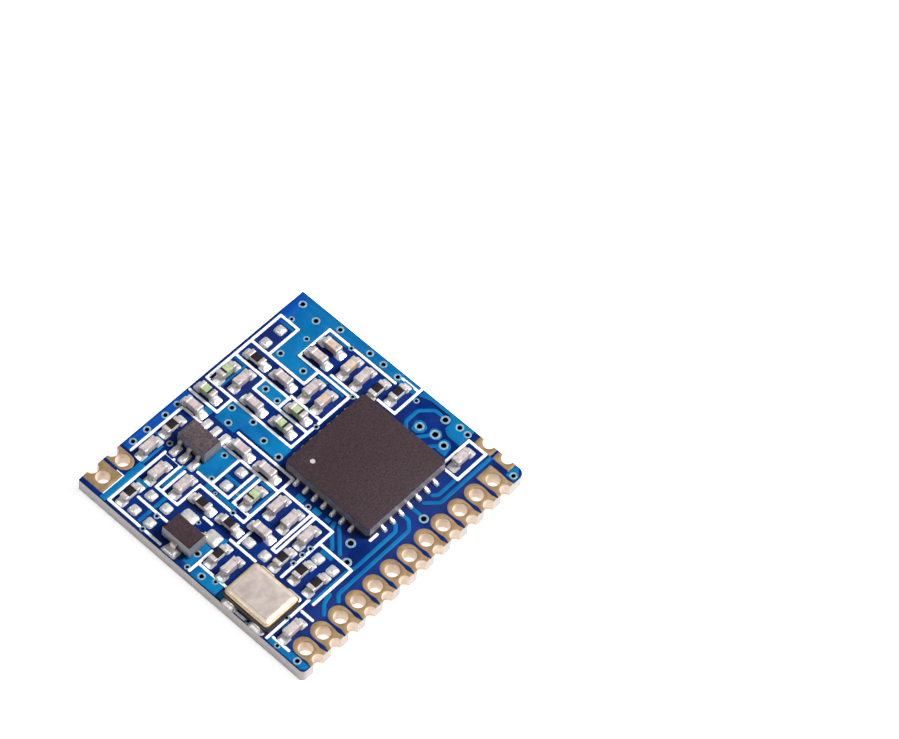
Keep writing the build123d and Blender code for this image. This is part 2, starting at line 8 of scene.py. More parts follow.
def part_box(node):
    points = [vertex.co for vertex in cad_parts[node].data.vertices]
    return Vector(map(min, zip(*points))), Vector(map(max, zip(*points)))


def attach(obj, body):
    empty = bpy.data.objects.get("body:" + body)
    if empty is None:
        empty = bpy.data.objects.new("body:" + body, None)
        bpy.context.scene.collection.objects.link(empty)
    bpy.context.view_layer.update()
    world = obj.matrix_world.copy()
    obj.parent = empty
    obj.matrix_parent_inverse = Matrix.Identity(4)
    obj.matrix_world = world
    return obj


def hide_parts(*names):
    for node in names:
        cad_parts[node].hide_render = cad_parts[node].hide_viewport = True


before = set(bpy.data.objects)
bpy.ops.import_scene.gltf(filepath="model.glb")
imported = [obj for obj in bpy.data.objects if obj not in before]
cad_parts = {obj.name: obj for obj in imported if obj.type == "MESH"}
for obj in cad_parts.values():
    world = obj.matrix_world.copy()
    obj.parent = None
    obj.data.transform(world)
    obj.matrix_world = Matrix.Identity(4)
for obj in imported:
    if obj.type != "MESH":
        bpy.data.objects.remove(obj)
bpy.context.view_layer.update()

# Shapes are drawn in millimetres from the board's corner beside the first edge pad, with heights from
# the underside, and turned into metres about the middle of the board when a piece is made.
MM = 0.001
CENTRE = (8.3, 8.05)

# Board
board_length = 16.6
board_width = 16.1
mask = 0.03
laminate_top = 0.89
board_top = 0.92
pad_top = 0.935
track_top = 0.938
copper_top = 0.94
ring_top = 0.948
print_top = 0.958
land_top = 0.96
corner_radius = 0.42
first_corner_radius = 0.28
corner_steps = 6

# Plated pads
pad_xs = [1.13 + 1.27 * i for i in range(12)]
pad_width = 1.12
pad_depth = 1.62
pad_mouth = 1.18
pad_waist = 1.0
pad_waist_at = 0.42
pad_full_from = 0.66
pad_end_from = 1.06
hole_radius = 0.40
hole_inset = 0.91
hole_steps = 32
notch_radius = 0.35
notch_steps = 16
lining_steps = 20
plating = 0.01
# Place along the edge, width, and whether the upper plate ends round
antenna_pads = [(1.00, 1.46, False), (2.42, 1.02, True)]
antenna_depth = 1.42
antenna_hole_inset = 0.78
side_pad_ys = [1.26, 2.57]
side_pad_width = 1.15
side_pad_depth = 0.58
side_pad_corner = 0.2
pad_edge = 0.014

# Copper under the mask, and how deep it and the print are set into the coat
copper_edge = 0.012
copper_corner = 0.06
copper_bed = 0.002
print_bed = 0.001
track_width = 0.22
track_bend = 0.15

# Chip parts: the reach is from a chip's middle to its end
chip_reach = 0.52
chip_width = 0.5
end_length = 0.26
end_edge = 0.045
end_heights = {"capacitor": 0.5, "resistor": 0.34, "inductor": 0.5}
# Each block's length, width, lower and upper height, edge radius and place along the chip
chip_blocks = {
    "capacitor": [(0.62, 0.46, 0.02, 0.482, 0.03, 0.0)],
    "resistor": [(0.62, 0.46, 0.01, 0.29, 0.02, 0.0), (0.54, 0.44, 0.285, 0.325, 0.015, 0.0)],
    "inductor": [(0.62, 0.46, 0.01, 0.48, 0.03, 0.0), (0.12, 0.44, 0.47, 0.499, 0.01, -0.2)],
}
tan_chips = ("capacitor_11", "capacitor_13", "capacitor_14")
land_width = 0.6
land_out = 0.34
land_under = 0.2
solder_climb = 0.22
bare_height = 0.135

# Transceiver: heights are from the top of its lands
transceiver = (10.87, 6.03)
transceiver_size = 6.0
transceiver_cut = 0.16
transceiver_lean = math.tan(math.radians(4)) * 0.62
transceiver_top = 0.82
wall_top = 0.79
lid_low = 0.785
lead_pitch = 0.65
transceiver_rows = [(i - 3) * lead_pitch for i in range(7)]
lead_foot = 0.24
lead_middle = 0.13
drop_reach = 0.34
dot_place = (-1.95, 1.95)
dot_radius = 0.10
dot_level = 0.794

# Crystal: heights are from the top of its lands
crystal = (1.52, 4.43)
crystal_width = 2.5
crystal_length = 3.2
crystal_cut = 0.15
crystal_land = 0.95
dish_top = 0.45
seal_size = (2.38, 3.08)
seal_top = 0.57
cover_size = (2.32, 3.0)
plateau_size = (1.84, 2.52)
plateau_heights = (0.66, 0.70)
# The cover's shoulder as steps inwards and heights
shoulder = [(0, 0.50), (0.008, 0.55), (0.03, 0.59), (0.07, 0.625), (0.12, 0.65), (0.19, 0.67), (0.26, 0.68)]

# Moulded packages: heights are from the top of the board
switch = (5.82, 13.15)
regulator = (1.27, 9.7)
package_width = 1.25
package_length = 2.0
package_top = 0.93
package_lean = math.tan(math.radians(6)) * 0.42
# Half the thickness of a bent lead
bent_half = 0.045

bare_lands = [
    (0.75, 12.75),
    (0.75, 11.65),
    (1.95, 12.75),
    (1.95, 11.65),
    (5.10, 10.45),
    (6.20, 10.45),
    (12.85, 15.20),
    (13.95, 15.20),
    (3.50, 7.22),
    (3.50, 6.12),
    (5.30, 4.06),
    (5.30, 3.05),
]
# White print strokes: the two ends of each
print_width = 0.16
print_corner = 0.07
print_edge = 0.012
print_strokes = [
    (0.25, 14.12, 4.30, 14.12),
    (0.25, 10.40, 0.25, 14.12),
    (4.30, 12.95, 4.30, 14.12),
    (2.50, 12.95, 4.30, 12.95),
    (2.50, 11.42, 2.50, 12.95),
    (2.60, 12.55, 4.45, 12.55),
    (2.50, 11.42, 4.15, 11.42),
    (1.42, 11.10, 1.42, 13.15),
    (3.15, 15.45, 6.87, 15.45),
    (6.90, 14.00, 6.90, 15.45),
    (7.93, 13.95, 7.93, 15.95),
    (7.93, 13.95, 9.10, 13.95),
    (4.62, 9.85, 4.62, 12.05),
    (4.62, 9.85, 6.70, 9.85),
    (4.62, 11.05, 6.70, 11.05),
    (6.70, 8.27, 6.70, 12.15),
    (4.62, 8.27, 4.62, 9.47),
    (4.62, 9.47, 6.70, 9.47),
    (4.15, 8.27, 4.15, 11.42),
    (4.15, 8.27, 7.80, 8.27),
    (7.80, 8.27, 7.80, 12.25),
    (0.20, 8.22, 1.80, 8.22),
    (2.92, 9.35, 2.92, 9.90),
    (9.10, 9.70, 9.10, 15.85),
    (9.10, 15.85, 14.65, 15.85),
    (11.20, 11.85, 11.20, 15.85),
    (12.40, 11.95, 12.40, 15.85),
    (12.40, 14.56, 14.65, 14.56),
    (14.65, 14.56, 14.65, 15.85),
    (10.38, 13.62, 11.20, 13.62),
    (10.33, 9.70, 10.33, 13.62),
    (10.33, 11.88, 11.20, 11.88),
    (11.38, 9.70, 11.38, 11.88),
    (9.10, 9.70, 13.47, 9.70),
    (13.50, 9.70, 13.50, 13.37),
    (12.40, 11.95, 13.47, 11.95),
    (13.50, 13.37, 15.83, 13.37),
    (15.83, 8.60, 15.83, 13.37),
    (13.80, 9.40, 13.80, 11.30),
    (14.42, 7.32, 14.42, 8.50),
    (14.42, 7.32, 16.50, 7.32),
    (0.82, 6.25, 0.82, 8.22),
    (2.93, 6.25, 2.93, 8.00),
    (3.10, 7.60, 4.00, 7.60),
    (4.05, 6.12, 6.95, 6.12),
    (4.05, 5.85, 6.95, 5.85),
    (4.05, 5.85, 4.05, 6.12),
    (6.95, 4.65, 6.95, 8.27),
    (3.22, 4.65, 6.95, 4.65),
    (5.98, 2.38, 5.98, 4.65),
    (3.20, 2.38, 5.98, 2.38),
    (0.18, 2.72, 1.60, 2.72),
    (1.90, 2.72, 3.20, 2.72),
    (2.50, 1.78, 2.50, 2.50),
    (0.42, 1.42, 0.42, 2.50),
    (13.78, 2.22, 13.78, 3.42),
    (13.78, 2.22, 15.95, 2.22),
    (15.95, 2.22, 15.95, 3.42),
    (13.95, 3.42, 15.95, 3.42),
    (7.95, 2.92, 8.45, 2.92),
    (0.14, 4.28, 0.14, 4.90),
    (16.30, 7.32, 16.30, 8.50),
]
# The thinner print round the inner corner of the first antenna pad
antenna_mark = [(0.30, 14.58), (1.81, 14.58), (1.81, 15.10), (1.75, 15.10), (1.75, 14.64), (0.30, 14.64)]
# Copper fields under the mask
copper_fields = [
    [(0.06, 14.22), (3.00, 14.22), (3.00, 14.62), (0.06, 14.62)],
    [(3.06, 15.56), (7.80, 15.56), (7.80, 16.04), (3.06, 16.04)],
    [(0.06, 6.30), (0.85, 6.30), (0.85, 8.10), (0.06, 8.10)],
    [(0.26, 0.06), (0.50, 0.06), (0.50, 1.30), (0.38, 1.30), (0.38, 2.60), (0.06, 2.60), (0.06, 0.26)],
    [(4.72, 11.15), (6.60, 11.15), (6.60, 12.30), (4.72, 12.30)],
    [(8.02, 9.55), (9.00, 9.55), (9.00, 13.85), (7.62, 13.85), (7.62, 12.45), (8.02, 12.45)],
    [(10.44, 11.98), (11.10, 11.98), (11.10, 13.52), (10.44, 13.52)],
    [
        (12.50, 12.05),
        (13.37, 12.05),
        (13.37, 13.49),
        (15.95, 13.49),
        (15.95, 7.42),
        (16.54, 7.42),
        (16.54, 16.04),
        (14.75, 16.04),
        (14.75, 14.46),
        (12.50, 14.46),
    ],
    [
        (15.35, 3.56),
        (16.54, 3.56),
        (16.54, 7.18),
        (16.12, 7.18),
        (16.36, 6.45),
        (16.36, 5.55),
        (16.38, 5.17),
        (16.03, 4.83),
        (15.62, 4.83),
        (15.38, 4.45),
    ],
    [(15.76, 0.08), (16.15, 0.08), (16.52, 0.42), (16.52, 0.66), (15.76, 0.66)],
    [(14.34, 5.72), (14.60, 5.47), (14.98, 5.47), (15.15, 5.75), (15.12, 6.05), (14.90, 6.24), (14.34, 6.08)],
    [(14.66, 4.76), (14.86, 4.55), (15.16, 4.58), (15.36, 4.82), (15.32, 5.12), (15.10, 5.32), (14.74, 5.22)],
    [(14.34, 3.66), (14.98, 3.78), (15.18, 4.05), (15.14, 4.36), (14.90, 4.50), (14.56, 4.42), (14.34, 4.30)],
]
# Vias: place and radius of the ring
vias = [
    (3.58, 15.76, 0.22),
    (4.61, 15.76, 0.22),
    (5.90, 15.72, 0.22),
    (6.82, 15.76, 0.20),
    (4.84, 14.32, 0.18),
    (7.88, 13.07, 0.22),
    (8.67, 13.59, 0.22),
    (6.32, 11.80, 0.20),
    (8.39, 10.99, 0.22),
    (8.22, 9.75, 0.24),
    (1.17, 8.63, 0.22),
    (8.82, 12.18, 0.22),
    (10.75, 13.16, 0.22),
    (10.65, 12.22, 0.20),
    (12.90, 14.17, 0.22),
    (12.95, 12.55, 0.22),
    (15.98, 15.52, 0.24),
    (15.71, 14.28, 0.24),
    (14.53, 13.84, 0.18),
    (16.22, 12.98, 0.22),
    (16.24, 10.82, 0.22),
    (16.24, 9.84, 0.22),
    (16.20, 8.76, 0.22),
    (0.38, 7.55, 0.22),
    (0.30, 0.70, 0.22),
    (7.12, 3.52, 0.28),
    (6.17, 2.88, 0.27),
    (14.77, 5.85, 0.27),
    (14.98, 4.93, 0.29),
    (14.80, 4.15, 0.27),
    (16.02, 5.16, 0.27),
    (16.20, 4.30, 0.24),
    (16.17, 3.72, 0.22),
    (15.81, 7.05, 0.17),
    (10.82, 1.86, 0.27),
    (16.00, 0.32, 0.22),
    (5.14, 9.66, 0.09),
    (4.36, 10.52, 0.11),
    (2.52, 9.90, 0.14),
]
# Vias that come up through the print, where it leaves them open
print_vias = [
    (4.86, 11.28),
    (0.25, 11.66),
    (1.28, 11.68),
    (0.26, 8.45),
    (4.17, 9.05),
    (10.94, 9.65),
    (13.63, 9.59),
    (0.65, 6.82),
    (0.20, 4.05),
    (0.22, 2.03),
    (4.21, 4.78),
    (4.88, 4.80),
    (5.44, 4.76),
    (7.15, 6.57),
    (14.88, 15.28),
    (15.78, 11.75),
    (1.70, 2.82),
]
print_via_radius = 0.17
vias += [(x, y, print_via_radius) for x, y in print_vias]
# A via's bore as a share of its ring's radius, and the wall and the foot of its lining
via_share = 0.62
via_wall = 0.015
via_foot = 0.01
via_steps = 16
ring_edge = 0.016

# Outlines
# The share of a side that a rounded corner may take, and the least divisor of a mitre
corner_share = 0.48
mitre_floor = 0.4


def arc(x, y, radius, start, end, steps):
    """Points on an arc, from one angle to another in degrees."""
    angles = [math.radians(start + (end - start) * i / steps) for i in range(steps + 1)]
    return [(x + radius * math.cos(a), y + radius * math.sin(a)) for a in angles]


def ring(x, y, radius, steps=28, hole=False):
    """A closed round outline; the outline of a hole runs clockwise."""
    turn = -360 if hole else 360
    return arc(x, y, radius, 0, turn, steps)[:-1]


def bend(before, corner, after, radius, steps):
    """Points of the curve that takes a corner round."""
    here = Vector(corner)
    back = Vector(before) - here
    on = Vector(after) - here
    cut = min(radius, corner_share * back.length, corner_share * on.length)
    first = here + back.normalized() * cut
    last = here + on.normalized() * cut
    out = []
    for k in range(steps + 1):
        t = k / steps
        point = first * (1 - t) ** 2 + here * 2 * t * (1 - t) + last * t**2
        out.append((point.x, point.y))
    return out


def softened(corners, radius, steps=4):
    """A closed outline with each corner drawn round."""
    out = []
    for i, corner in enumerate(corners):
        out += bend(corners[i - 1], corner, corners[(i + 1) % len(corners)], radius, steps)
    return out


def rectangle(width, length, radius, x=0.0, y=0.0, steps=4):
    """A rectangular outline about a point, with rounded corners."""
    a, b = width / 2, length / 2
    corners = [(x - a, y - b), (x + a, y - b), (x + a, y + b), (x - a, y + b)]
    return softened(corners, radius, steps)


def moved(loop, amount):
    """A closed outline moved to its left, mitred at its corners."""
    out = []
    count = len(loop)
    for i, (x, y) in enumerate(loop):
        before = Vector((x, y)) - Vector(loop[i - 1])
        after = Vector(loop[(i + 1) % count]) - Vector((x, y))
        before.normalize()
        after.normalize()
        left = Vector((-before.y - after.y, before.x + after.x))
        scale = amount / max(mitre_floor, 1 + before.dot(after))
        out.append((x + left.x * scale, y + left.y * scale))
    return out


def moved_line(line, amount):
    """An open line moved to its left, mitred at its corners."""
    out = []
    for i, point in enumerate(line):
        here = Vector(point)
        before = (here - Vector(line[i - 1])).normalized() if i else None
        after = (Vector(line[i + 1]) - here).normalized() if i + 1 < len(line) else before
        before = before or after
        left = Vector((-before.y - after.y, before.x + after.x))
        out.append(tuple(here + left * amount / max(mitre_floor, 1 + before.dot(after))))
    return out


def softened_line(corners, radius, steps=5):
    """An open line with its inner corners drawn round."""
    out = [tuple(corners[0])]
    for before, corner, after in zip(corners, corners[1:], corners[2:]):
        out += bend(before, corner, after, radius, steps)
    return out + [tuple(corners[-1])]


def strip(line, width):
    """The closed outline of a line with a width, with rounded ends."""
    left = moved_line(line, width / 2)
    right = moved_line(line, -width / 2)
    ahead = Vector(line[-1]) - Vector(line[-2])
    behind = Vector(line[0]) - Vector(line[1])
    a = math.degrees(math.atan2(ahead.y, ahead.x))
    b = math.degrees(math.atan2(behind.y, behind.x))
    end = arc(*line[-1], width / 2, a - 90, a + 90, 8)[1:-1]
    start = arc(*line[0], width / 2, b - 90, b + 90, 8)[1:-1]
    return right + end + left[::-1] + start


def merged(boxes, cuts):
    """Outlines of the area that boxes cover and cuts don't, each box being its two corners."""
    xs = sorted({round(v, 4) for b in boxes + cuts for v in (b[0], b[2])})
    ys = sorted({round(v, 4) for b in boxes + cuts for v in (b[1], b[3])})

    def inside(i, j, group):
        x = (xs[i] + xs[i + 1]) / 2
        y = (ys[j] + ys[j + 1]) / 2
        return any(b[0] < x < b[2] and b[1] < y < b[3] for b in group)

    filled = {
        (i, j)
        for i in range(len(xs) - 1)
        for j in range(len(ys) - 1)
        if inside(i, j, boxes) and not inside(i, j, cuts)
    }
    steps = {}
    for i, j in filled:
        sides = [
            ((i, j - 1), (i, j), (i + 1, j)),
            ((i + 1, j), (i + 1, j), (i + 1, j + 1)),
            ((i, j + 1), (i + 1, j + 1), (i, j + 1)),
            ((i - 1, j), (i, j + 1), (i, j)),
        ]
        for neighbour, start, end in sides:
            if neighbour not in filled:
                steps.setdefault(start, []).append(end)
    loops = []
    while steps:
        start = min(steps)
        here = start
        came = None
        loop = []
        while True:
            ends = steps[here]
            if len(ends) > 1 and came:
                heading = (here[0] - came[0], here[1] - came[1])
                ends.sort(key=lambda e: heading[0] * (e[1] - here[1]) - heading[1] * (e[0] - here[0]))
            following = ends.pop()
            if not ends:
                del steps[here]
            loop.append((xs[here[0]], ys[here[1]]))
            came, here = here, following
            if here == start:
                break
        corners = []
        for k, point in enumerate(loop):
            a, b = loop[k - 1], loop[(k + 1) % len(loop)]
            if (point[0] - a[0]) * (b[1] - point[1]) != (point[1] - a[1]) * (b[0] - point[0]):
                corners.append(point)
        loops.append(corners)
    return loops


# Forms: lists of points and faces
def triangulated(loops):
    """Triangles between outlines, as numbers of their points. A hole is an outline inside another."""
    points, edges = [], []
    for loop in loops:
        start, count = len(points), len(loop)
        points += [tuple(p) for p in loop]
        edges += [(start + i, start + (i + 1) % count) for i in range(count)]
    flat = [Vector(p) for p in points]
    _, _, faces, origin, _, _ = geometry.delaunay_2d_cdt(flat, edges, [], 0, 1e-7)
    spots = np.array(points)
    a, b = spots[[e[0] for e in edges]], spots[[e[1] for e in edges]]
    rise = np.where(a[:, 1] == b[:, 1], 1.0, b[:, 1] - a[:, 1])
    kept = []
    for face in faces:
        triangle = tuple(origin[i][0] for i in face)
        x, y = spots[list(triangle)].mean(axis=0)
        spans = (a[:, 1] > y) != (b[:, 1] > y)
        crossed = spans & (x < a[:, 0] + (b[:, 0] - a[:, 0]) * (y - a[:, 1]) / rise)
        if crossed.sum() % 2:
            kept.append(triangle)
    return kept


def stack(loops, levels):
    """A closed form through levels of (inset, height), from the lowest up."""
    verts, faces, starts = [], [], []
    for inset, z in levels:
        starts.append(len(verts))
        for loop in loops:
            verts += [(x, y, z) for x, y in (moved(loop, inset) if inset else loop)]
    for low, high in zip(starts, starts[1:]):
        offset = 0
        for loop in loops:
            count = len(loop)
            for i in range(count):
                j = (i + 1) % count
                a, b = offset + i, offset + j
                faces.append((low + a, low + b, high + b, high + a))
            offset += count
    cap = triangulated(loops)
    faces += [(starts[0] + c, starts[0] + b, starts[0] + a) for a, b, c in cap]
    faces += [(starts[-1] + a, starts[-1] + b, starts[-1] + c) for a, b, c in cap]
    return verts, faces


def rounded_over(radius, z, steps):
    """Levels of an upper edge that is rounded over."""
    angles = [math.radians(90 * i / steps) for i in range(steps + 1)]
    return [(radius * (1 - math.cos(a)), z - radius + radius * math.sin(a)) for a in angles]


def rounded_under(radius, z, steps):
    """Levels of a lower edge that is rounded."""
    return [(inset, 2 * z - level) for inset, level in reversed(rounded_over(radius, z, steps))]


def plate(loops, low, high, radius, steps, under=0.0):
    """A plate with its upper edges rounded over, and its lower ones where under is given."""
    lower = rounded_under(under, low, steps) if under else [(0, low)]
    return stack(loops, lower + rounded_over(radius, high, steps))


def tube(x, y, inner, outer, low, high, steps):
    """A lining with a bore."""
    return plate([ring(x, y, outer, steps), ring(x, y, inner, steps, hole=True)], low, high, 0.004, 1)


def mound(loop, centre, height, rings=7):
    """A domed form on an outline: height gives its z from x, y and the share of the way to the edge."""
    verts, faces = [], []
    count = len(loop)
    for k in range(rings, 0, -1):
        share = k / rings
        for x, y in loop:
            px = centre[0] + (x - centre[0]) * share
            py = centre[1] + (y - centre[1]) * share
            verts.append((px, py, height(px, py, share)))
    verts.append((centre[0], centre[1], height(centre[0], centre[1], 0.0)))
    for k in range(rings - 1):
        low, high = k * count, (k + 1) * count
        for i in range(count):
            j = (i + 1) % count
            faces.append((low + i, low + j, high + j, high + i))
    last = (rings - 1) * count
    faces += [(last + i, last + (i + 1) % count, len(verts) - 1) for i in range(count)]
    return verts, faces


def sideways(form):
    """A form drawn in plan, stood up so that its height runs along -y."""
    verts, faces = form
    return [(x, -z, y) for x, y, z in verts], faces


class Piece:
    """Gathers forms and makes one object of them, which rides on the body and stands for CAD nodes."""

    def __init__(self):
        self.verts = []
        self.faces = []
        self.finishes = []

    def add(self, form, x=0.0, y=0.0, z=0.0, turn=0.0, finish=0, wall=None):
        """Adds a form, turned and moved, with one finish, and another for upright faces if wall is given."""
        verts, faces = form
        c, s = math.cos(math.radians(turn)), math.sin(math.radians(turn))
        base = len(self.verts)
        self.verts += [(x + c * a - s * b, y + s * a + c * b, z + h) for a, b, h in verts]
        for face in faces:
            self.faces.append(tuple(base + i for i in face))
            first, second, third = (Vector(verts[i]) for i in face[:3])
            upright = abs((second - first).cross(third - first).normalized().z) < 0.5
            self.finishes.append(wall if upright and wall is not None else finish)

    def make(self, name, materials, nodes=(), angle=38):
        """Makes the object. Edges that bend by more than the angle stay sharp."""
        mesh = bpy.data.meshes.new(name)
        verts = [((x - CENTRE[0]) * MM, (y - CENTRE[1]) * MM, z * MM) for x, y, z in self.verts]
        mesh.from_pydata(verts, [], self.faces)
        for material in materials:
            mesh.materials.append(material)
        mesh.polygons.foreach_set("material_index", self.finishes)
        mesh.polygons.foreach_set("use_smooth", [True] * len(self.faces))
        mesh.set_sharp_from_angle(angle=math.radians(angle))
        mesh.update()
        piece = bpy.data.objects.new(name, mesh)
        bpy.context.scene.collection.objects.link(piece)
        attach(piece, "root")
        if nodes:
            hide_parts(*nodes)


# Materials
# The band in which the copper's colour turns at the far edge, in metres from the middle of the board
far_band = (0.0070, 0.0077)
# The inputs and the output of a Mix node that carry its factor and its colours
mix_inputs = (0, 6, 7)
mix_output = 2


def noise(nodes, links, place, size, detail, roughness):
    """A noise node with features of about that size in millimetres."""
    node = nodes.new("ShaderNodeTexNoise")
    node.inputs["Scale"].default_value = 1 / (size * MM)
    node.inputs["Detail"].default_value = detail
    node.inputs["Roughness"].default_value = roughness
    links.new(place, node.inputs["Vector"])
    return node


def surface(
    name,
    dark,
    light,
    size,
    rough,
    bump,
    grain,
    metallic=0.0,
    coat=0.0,
    gloss=0.5,
    spread=(0.35, 0.65),
    far_edge=None,
):
    """A material whose colour drifts between two shades, and to a third at the board's far edge if given."""
    material = bpy.data.materials.new(name)
    material.use_nodes = True
    nodes, links = material.node_tree.nodes, material.node_tree.links
    shader = nodes["Principled BSDF"]
    shader.inputs["Metallic"].default_value = metallic
    shader.inputs["Coat Weight"].default_value = coat
    shader.inputs["Specular IOR Level"].default_value = gloss
    shader.inputs["Coat Roughness"].default_value = 0.12
    place = nodes.new("ShaderNodeTexCoord").outputs["Object"]
    cloud = noise(nodes, links, place, size, 5.0, 0.6)
    ramp = nodes.new("ShaderNodeValToRGB")
    ramp.color_ramp.elements[0].position = spread[0]
    ramp.color_ramp.elements[0].color = (*dark, 1)
    ramp.color_ramp.elements[1].position = spread[1]
    ramp.color_ramp.elements[1].color = (*light, 1)
    links.new(cloud.outputs["Fac"], ramp.inputs["Fac"])
    colour = ramp.outputs["Color"]
    if far_edge:
        split = nodes.new("ShaderNodeSeparateXYZ")
        links.new(place, split.inputs["Vector"])
        nearness = nodes.new("ShaderNodeMapRange")
        nearness.inputs["From Min"].default_value = far_band[0]
        nearness.inputs["From Max"].default_value = far_band[1]
        links.new(split.outputs["Y"], nearness.inputs["Value"])
        blend = nodes.new("ShaderNodeMix")
        blend.data_type = "RGBA"
        factor, first, second = (blend.inputs[i] for i in mix_inputs)
        second.default_value = (*far_edge, 1)
        links.new(nearness.outputs["Result"], factor)
        links.new(colour, first)
        colour = blend.outputs[mix_output]
    links.new(colour, shader.inputs["Base Color"])
    fine = noise(nodes, links, place, grain, 3.0, 0.55)
    span = nodes.new("ShaderNodeMapRange")
    span.inputs["From Min"].default_value = 0.3
    span.inputs["From Max"].default_value = 0.7
    span.inputs["To Min"].default_value = rough[0]
    span.inputs["To Max"].default_value = rough[1]
    links.new(fine.outputs["Fac"], span.inputs["Value"])
    links.new(span.outputs["Result"], shader.inputs["Roughness"])
    relief = nodes.new("ShaderNodeBump")
    relief.inputs["Strength"].default_value = bump
    relief.inputs["Distance"].default_value = grain * MM * 0.5
    links.new(fine.outputs["Fac"], relief.inputs["Height"])
    links.new(relief.outputs["Normal"], shader.inputs["Normal"])
    return material


mask_blue = surface(
    "mask_blue", (0.0, 0.010, 0.09), (0.0, 0.020, 0.16), 1.1, (0.35, 0.5), 0.15, 0.06, gloss=0.12
)
copper_blue = surface(
    "copper_blue",
    (0.0, 0.10, 0.29),
    (0.0, 0.155, 0.36),
    1.6,
    (0.38, 0.52),
    0.2,
    0.07,
    gloss=0.12,
    far_edge=(0.0, 0.055, 0.31),
)
print_white = surface("print_white", (0.80, 0.83, 0.88), (0.93, 0.94, 0.96), 0.25, (0.5, 0.7), 0.35, 0.03)
pad_gold = surface(
    "pad_gold", (0.29, 0.18, 0.08), (0.40, 0.27, 0.14), 0.5, (0.4, 0.55), 0.25, 0.03, metallic=0.45
)
# Hole linings: the same plating as the pads and notches, made paler cream as painted light that reaches the
# holes from below
lining_gold_lit = surface("lining_gold_lit", (0.78, 0.66, 0.55), (0.88, 0.78, 0.68), 0.3, (0.4, 0.55), 0.2, 0.04)
notch_gold = surface("notch_gold", (0.62, 0.49, 0.38), (0.75, 0.62, 0.51), 0.3, (0.4, 0.55), 0.2, 0.04)
laminate_edge = surface("laminate_edge", (0.36, 0.32, 0.31), (0.52, 0.48, 0.46), 0.07, (0.6, 0.85), 0.5, 0.04)
solder_bright = surface(
    "solder_bright", (0.74, 0.71, 0.69), (0.92, 0.90, 0.88), 0.3, (0.26, 0.38), 0.05, 0.15, metallic=0.6
)
tin = surface("tin", (0.50, 0.44, 0.41), (0.74, 0.69, 0.66), 0.14, (0.34, 0.5), 0.3, 0.04, metallic=0.5)
ceramic_pink = surface("ceramic_pink", (0.42, 0.35, 0.34), (0.57, 0.50, 0.50), 0.2, (0.4, 0.6), 0.25, 0.03)
ceramic_tan = surface("ceramic_tan", (0.50, 0.36, 0.26), (0.62, 0.48, 0.37), 0.2, (0.4, 0.6), 0.25, 0.03)
ceramic_white = surface("ceramic_white", (0.60, 0.57, 0.54), (0.76, 0.74, 0.71), 0.15, (0.5, 0.7), 0.25, 0.03)
film_black = surface(
    "film_black", (0.010, 0.006, 0.007), (0.024, 0.016, 0.017), 0.1, (0.4, 0.6), 0.2, 0.03, gloss=0.2
)
ceramic_green = surface("ceramic_green", (0.31, 0.40, 0.20), (0.45, 0.54, 0.32), 0.2, (0.35, 0.55), 0.2, 0.03)
mould = surface(
    "mould",
    (0.020, 0.011, 0.015),
    (0.066, 0.040, 0.048),
    0.09,
    (0.5, 0.75),
    0.6,
    0.05,
    gloss=0.2,
    spread=(0.3, 0.75),
)
mould_grey = surface(
    "mould_grey", (0.045, 0.032, 0.037), (0.115, 0.085, 0.094), 0.12, (0.5, 0.75), 0.6, 0.05, gloss=0.2
)
# Walls of the mouldings: several times lighter than the same moulding's top, painted light on their sides
mould_wall_lit = surface(
    "mould_wall_lit",
    (0.125, 0.12, 0.14),
    (0.23, 0.23, 0.26),
    0.09,
    (0.25, 0.38),
    0.25,
    0.05,
    gloss=0.6,
    spread=(0.3, 0.75),
)
dot_pale = surface("dot_pale", (0.40, 0.34, 0.36), (0.62, 0.56, 0.57), 0.08, (0.5, 0.7), 0.3, 0.03)
can_metal = surface(
    "can_metal", (0.46, 0.39, 0.36), (0.62, 0.54, 0.50), 0.5, (0.35, 0.5), 0.3, 0.04, metallic=0.35
)
# The cover's rounded shoulder: the same metal as its flat top, made paler and warmer as a painted highlight
# on the curve
can_shoulder_highlight = surface(
    "can_shoulder_highlight", (0.72, 0.58, 0.42), (0.88, 0.76, 0.62), 0.4, (0.28, 0.4), 0.15, 0.04, metallic=0.4
)
seal_gold = surface(
    "seal_gold", (0.60, 0.40, 0.20), (0.80, 0.60, 0.36), 0.3, (0.3, 0.45), 0.2, 0.04, metallic=0.6
)
ceramic_dark = surface(
    "ceramic_dark", (0.018, 0.011, 0.013), (0.045, 0.03, 0.032), 0.15, (0.5, 0.7), 0.4, 0.04, gloss=0.3
)
via_ring = surface("via_ring", (0.08, 0.19, 0.28), (0.32, 0.43, 0.50), 0.12, (0.3, 0.5), 0.2, 0.04, coat=0.1)
# Via bores: near black where the bore's plating would be, a painted shade down the narrow holes
via_bore_shade = surface(
    "via_bore_shade", (0.003, 0.005, 0.01), (0.012, 0.014, 0.02), 0.1, (0.5, 0.7), 0.2, 0.04, gloss=0.1
)


# Outlines of the board and its pads
def pad_around(right):
    """The outline of a pad from its right half, with the notch taken out of it."""
    notch = arc(0, 0, notch_radius, 180, 0, notch_steps)
    left = [(-x, y) for x, y in reversed(right)]
    return notch + right + left[1:]


def pad_outline(square):
    """Upper plate of an edge pad with its edge along y = 0."""
    a = pad_width / 2
    flank = [(pad_mouth / 2, 0), (pad_waist / 2, pad_waist_at), (a, pad_full_from), (a, pad_end_from)]
    if square:
        end = softened_line([(a, pad_end_from), (a, pad_depth), (0, pad_depth)], 0.06)
    else:
        end = arc(0, pad_depth - a, a, 0, 90, 12)
    return pad_around(softened_line(flank, 0.12) + end)


